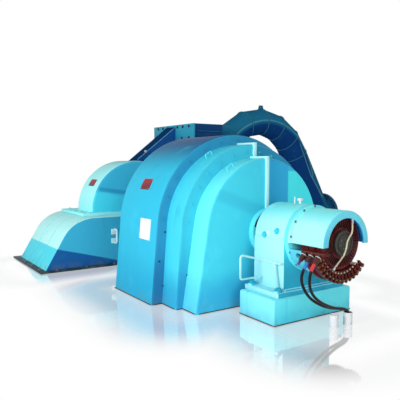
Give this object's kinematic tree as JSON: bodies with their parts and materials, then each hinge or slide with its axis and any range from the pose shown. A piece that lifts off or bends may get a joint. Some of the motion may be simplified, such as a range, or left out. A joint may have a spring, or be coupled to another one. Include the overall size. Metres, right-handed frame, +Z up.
{
  "type": "hydroelectric generator",
  "caption": "Horizontal impulse-turbine generator set with stepped turquoise hood, open collector end with brush gear, turbine casing with discharge chute, and curved branch pipe.",
  "frame": {"origin": "on the floor under the shaft line, at the middle of the generator hood's length", "axes": "+X is to the right seen from the collector end, +Y runs along the shaft toward the turbine, +Z is up"},
  "size_m": [6.57, 5.599, 2.737],
  "materials": {
    "turquoise_paint": "glossy turquoise machine paint",
    "pipe_paint": "dark teal pipe paint",
    "plinth_paint": "pale turquoise paint, matte",
    "bright_steel": "bare machined steel",
    "shaft_steel": "turned steel, dull",
    "bearing_metal": "bearing bronze",
    "insulated_drum": "maroon insulating varnish",
    "boot_rubber": "glossy black rubber",
    "cable_black": "black cable sheath",
    "cable_cream": "cream cable sheath",
    "conduit_plastic": "white conduit"
  },
  "bodies": {
    "machine": {"main_hood": "turquoise_paint", "left_step_2": "turquoise_paint", "left_step_3": "turquoise_paint", "right_step_2": "turquoise_paint", "right_step_3": "turquoise_paint", "seal_ring": "turquoise_paint", "front_foot": "turquoise_paint", "front_pedestal": "turquoise_paint", "front_bearing_cap": "turquoise_paint", "rear_foot": "turquoise_paint", "rear_pedestal": "turquoise_paint", "rear_bearing_cap": "turquoise_paint", "end_cover": "turquoise_paint", "collector_hood": "turquoise_paint", "brush_bracket": "turquoise_paint", "base_plate": "turquoise_paint", "discharge_chute": "turquoise_paint", "lower_casing": "turquoise_paint", "casing_split": "turquoise_paint", "upper_casing": "turquoise_paint", "casing_hub": "turquoise_paint", "shaft_guard": "turquoise_paint", "grab_handle": "turquoise_paint", "sloped_duct": "turquoise_paint", "nozzle_chamber": "turquoise_paint", "top_box": "turquoise_paint", "box_flange": "turquoise_paint", "nozzle_pipe": "pipe_paint", "drop_pipe": "pipe_paint", "inlet_piece": "pipe_paint", "inlet_flange": "pipe_paint", "reducer": "pipe_paint", "lower_branch": "pipe_paint", "pipe_flanges": "pipe_paint", "saddles": "pipe_paint", "lifting_lug": "pipe_paint", "bend_1": "pipe_paint", "bend_2": "pipe_paint", "bend_3": "pipe_paint", "bend_4": "pipe_paint", "bend_5": "pipe_paint", "front_plinth": "plinth_paint", "rear_plinth": "plinth_paint", "split_flanges": "bright_steel", "oil_pipe": "bright_steel", "level_gauge": "bright_steel", "oil_cup": "bright_steel", "bearing_liners": "bearing_metal", "brush_ring": "insulated_drum", "brush_holders": "bright_steel", "terminal_board": "insulated_drum", "terminal_boots": "boot_rubber", "earth_lugs": "bright_steel", "lead_1": "cable_black", "lead_2": "cable_black", "earth_lead": "cable_cream", "conduits": "conduit_plastic"},
    "rotor": {"main_shaft": "shaft_steel", "collector_drum": "insulated_drum", "end_disc": "shaft_steel"}
  },
  "joints": [
    {"name": "rotor_spin", "type": "hinge", "parent": "machine", "child": "rotor", "pos_m": [0, 0, 0.82], "axis": [0, 1, 0], "continuous": true}
  ]
}
